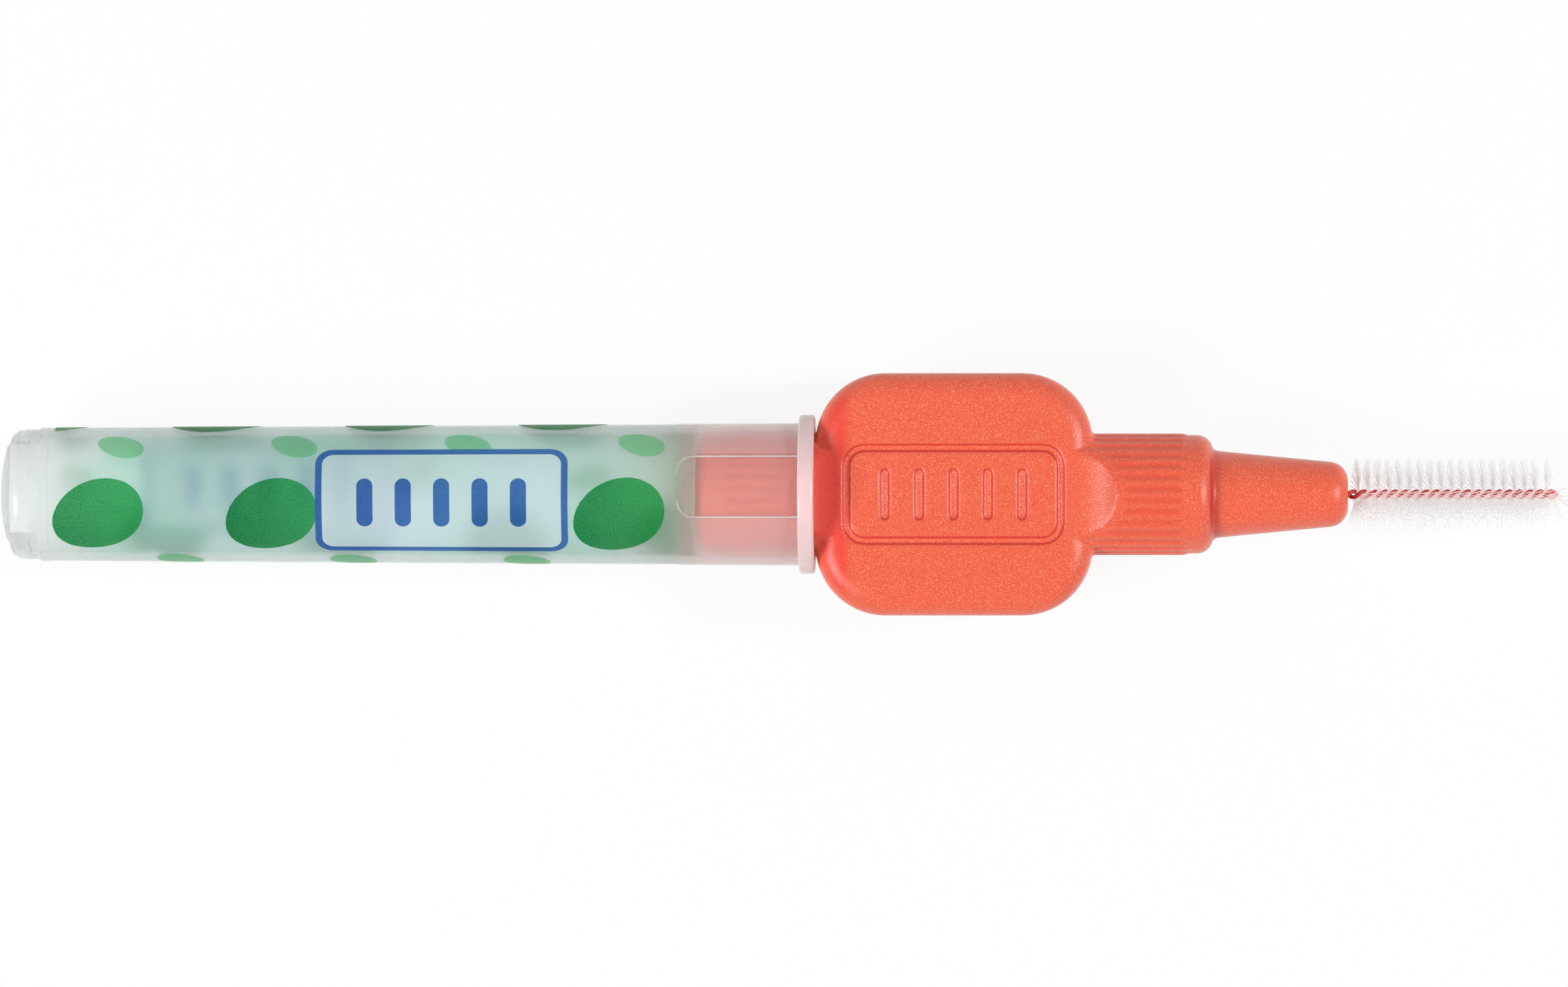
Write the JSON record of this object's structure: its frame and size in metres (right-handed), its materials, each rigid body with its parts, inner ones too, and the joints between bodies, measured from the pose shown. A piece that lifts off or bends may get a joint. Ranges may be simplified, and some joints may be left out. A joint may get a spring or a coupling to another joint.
{
  "type": "interdental brush",
  "caption": "Interdental brush: a twisted-wire nylon brush on a coral thumb-pad handle, with a frosted tubular cap pushed on its back end as a handle extension.",
  "frame": {"origin": "under the middle of the whole length, level with the lowest point of the cap's rim", "axes": "+X runs from the cap's closed end to the brush tip, +Z is square to the broad faces of the thumb pad"},
  "size_m": [0.0776, 0.012, 0.0079],
  "materials": {
    "coral_plastic": "fine-grained satin moulding",
    "steel": "drawn wire",
    "wire_coat": "smooth coral coating",
    "nylon": "white translucent filament",
    "frosted_cap": "frosted translucent moulding",
    "printed_film": "clear film with a plain printed pattern"
  },
  "bodies": {
    "brush": {"handle": "coral_plastic", "core_wire": "steel", "wire_coating": "wire_coat", "filaments": "nylon"},
    "cap": {"cap_tube": "frosted_cap", "label_film": "printed_film"}
  },
  "joints": [
    {"name": "cap_pull", "type": "slide", "parent": "brush", "child": "cap", "axis": [-1, 0, 0], "range_m": [0, 0.008]}
  ]
}
